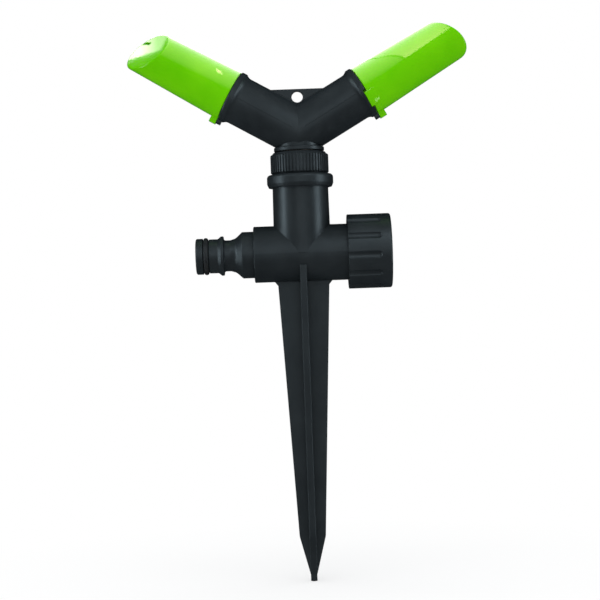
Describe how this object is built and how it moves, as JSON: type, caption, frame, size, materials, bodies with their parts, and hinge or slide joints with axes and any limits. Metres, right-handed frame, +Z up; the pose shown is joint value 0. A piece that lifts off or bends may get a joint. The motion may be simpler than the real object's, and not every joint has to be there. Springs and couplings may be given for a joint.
{
  "type": "lawn sprinkler",
  "caption": "Rotating lawn sprinkler: V-shaped arms with slanted push-fit nozzles turn on a bearing above a tee on a ground spike, with a hose nipple and a capped threaded outlet",
  "frame": {"origin": "on the spin axis at ground level, the underside of the tee barrel, where the spike begins", "axes": "+Z up along the spin axis and the spike, +X along the tee towards the end cap, -Y the front"},
  "size_m": [0.1478, 0.0322, 0.24],
  "materials": {
    "black_plastic": "satin moulded charcoal plastic",
    "green_plastic": "glossy lime green moulded plastic",
    "rubber": "smooth black rubber",
    "nylon": "natural low-friction plastic",
    "spring_steel": "stainless spring steel"
  },
  "bodies": {
    "root": {"spike_body": "black_plastic", "hose_nipple": "black_plastic", "nipple_o_ring": "rubber"},
    "cap_seal": {"cap_washer": "rubber"},
    "screw_cap": {"end_cap": "black_plastic"},
    "bearing": {"bearing_bush": "nylon", "neck_washer": "rubber", "upper_thrust_washer": "nylon", "lower_thrust_washer": "nylon"},
    "nut": {"bearing_nut": "black_plastic"},
    "head": {"rotor": "black_plastic", "spindle_clip": "spring_steel", "spindle_o_ring": "rubber"},
    "nozzle_left": {"left_nozzle": "green_plastic", "left_nozzle_o_ring": "rubber"},
    "nozzle_right": {"right_nozzle": "green_plastic", "right_nozzle_o_ring": "rubber"}
  },
  "joints": [
    {"name": "rotor_spin", "type": "hinge", "parent": "bearing", "child": "head", "pos_m": [0, 0, 0.0565], "axis": [0, 0, 1], "continuous": true},
    {"name": "nut_turn", "type": "hinge", "parent": "bearing", "child": "nut", "pos_m": [0, 0, 0.0513], "axis": [0, 0, 1], "range_deg": [0, 1080]},
    {"name": "head_lift", "type": "slide", "parent": "root", "child": "bearing", "axis": [0, 0, 1], "range_m": [0, 0.0054]},
    {"name": "cap_turn", "type": "hinge", "parent": "cap_seal", "child": "screw_cap", "pos_m": [0.029, 0, 0.0122], "axis": [1, 0, 0], "range_deg": [0, 2700]},
    {"name": "cap_travel", "type": "slide", "parent": "root", "child": "cap_seal", "axis": [1, 0, 0], "range_m": [0, 0.0136]},
    {"name": "left_nozzle_pull", "type": "slide", "parent": "head", "child": "nozzle_left", "axis": [-0.866, 0, 0.5], "range_m": [0, 0.014]},
    {"name": "right_nozzle_pull", "type": "slide", "parent": "head", "child": "nozzle_right", "axis": [0.866, 0, 0.5], "range_m": [0, 0.014]}
  ],
  "couplings": [
    {"joint": "nut_turn", "follows": "head_lift", "rad_per_m": 3463.7},
    {"joint": "cap_turn", "follows": "cap_travel", "rad_per_m": 3463.7}
  ]
}
